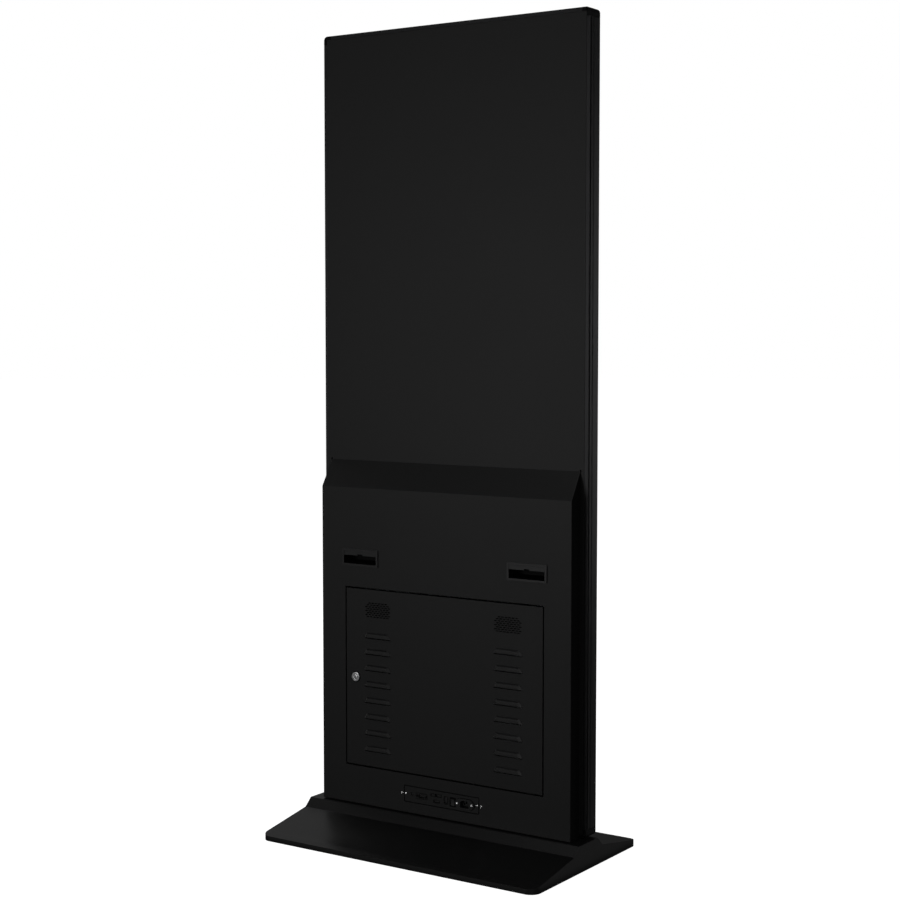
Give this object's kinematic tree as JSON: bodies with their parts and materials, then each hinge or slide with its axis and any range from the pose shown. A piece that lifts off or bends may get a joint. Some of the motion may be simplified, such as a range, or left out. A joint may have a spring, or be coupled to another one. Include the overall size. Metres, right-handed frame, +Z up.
{
  "type": "touchscreen kiosk",
  "caption": "Free-standing totem kiosk: slim portrait touchscreen in a framed slab, rear equipment housing with lockable service door, wedge floor base.",
  "frame": {"origin": "on the floor, at the centre of the base's footprint", "axes": "+Z up; the screen faces -Y; +X is to the right of someone looking at the screen"},
  "size_m": [0.754, 0.462, 1.9],
  "materials": {
    "black_powder_coat": "satin",
    "base_powder_coat": "semi-gloss",
    "black_anodised": "satin",
    "cap_plastic": "satin",
    "black_plastic": "satin",
    "speaker_plastic": "matte",
    "rubber": "matte",
    "touch_glass": "polished",
    "display": "satin",
    "zinc_steel": "satin",
    "galvanised": "satin",
    "lock_chrome": "polished",
    "nickel": "polished",
    "circuit_board": "semi-gloss",
    "lead_jacket": "matte"
  },
  "bodies": {
    "stand": {"lower_front_panel": "black_powder_coat", "rear_panel": "black_powder_coat", "lower_housing": "black_powder_coat", "connector_plate": "black_powder_coat", "connector_bracket": "black_powder_coat", "base_shell": "base_powder_coat", "frame_rail_right": "black_anodised", "frame_rail_top": "black_anodised", "frame_rail_left": "black_anodised", "frame_rail_bottom": "black_anodised", "corner_cap_top_right": "cap_plastic", "corner_cap_top_left": "cap_plastic", "corner_cap_bottom_left": "cap_plastic", "corner_cap_bottom_right": "cap_plastic", "handle_cup_left": "black_plastic", "handle_cup_right": "black_plastic", "audio_jack": "black_plastic", "lan_port": "black_plastic", "mains_inlet": "black_plastic", "switch_body": "black_plastic", "media_player": "black_plastic", "foot_pad_front_left": "rubber", "foot_pad_front_right": "rubber", "foot_pad_rear_left": "rubber", "foot_pad_rear_right": "rubber", "touch_glass": "touch_glass", "lcd_panel": "display", "hinge_bracket_lower": "zinc_steel", "hinge_bracket_upper": "zinc_steel", "hinge_pin_lower": "zinc_steel", "hinge_pin_upper": "zinc_steel", "power_supply": "zinc_steel", "ballast_plate": "galvanised", "mast_left": "galvanised", "mast_right": "galvanised", "mast_foot_left": "galvanised", "mast_foot_right": "galvanised", "middle_crossbar": "galvanised", "backlight_tray": "galvanised", "screen_crossbar_1": "galvanised", "screen_crossbar_2": "galvanised", "equipment_plate": "galvanised", "vga_port": "nickel", "hdmi_port": "nickel", "usb_ports": "nickel", "driver_board": "circuit_board", "touch_controller": "circuit_board", "mains_lead": "lead_jacket", "video_lead": "lead_jacket"},
    "door": {"service_door": "black_powder_coat", "speaker_left": "speaker_plastic", "speaker_right": "speaker_plastic", "lock_barrel": "lock_chrome", "lock_nut": "zinc_steel"},
    "lock": {"lock_plug": "lock_chrome", "lock_cam": "zinc_steel"},
    "rocker": {"power_rocker": "black_plastic"}
  },
  "joints": [
    {"name": "door_hinge", "type": "hinge", "parent": "stand", "child": "door", "pos_m": [-0.269, 0.0245, 0.372], "axis": [0, 0, 1], "range_deg": [0, 105]},
    {"name": "lock_turn", "type": "hinge", "parent": "door", "child": "lock", "pos_m": [0.2465, 0.023, 0.372], "axis": [0, 1, 0], "range_deg": [0, 90]},
    {"name": "power_switch", "type": "hinge", "parent": "stand", "child": "rocker", "pos_m": [-0.0328, 0.027, 0.1079], "axis": [1, 0, 0], "range_deg": [0, 16]}
  ]
}
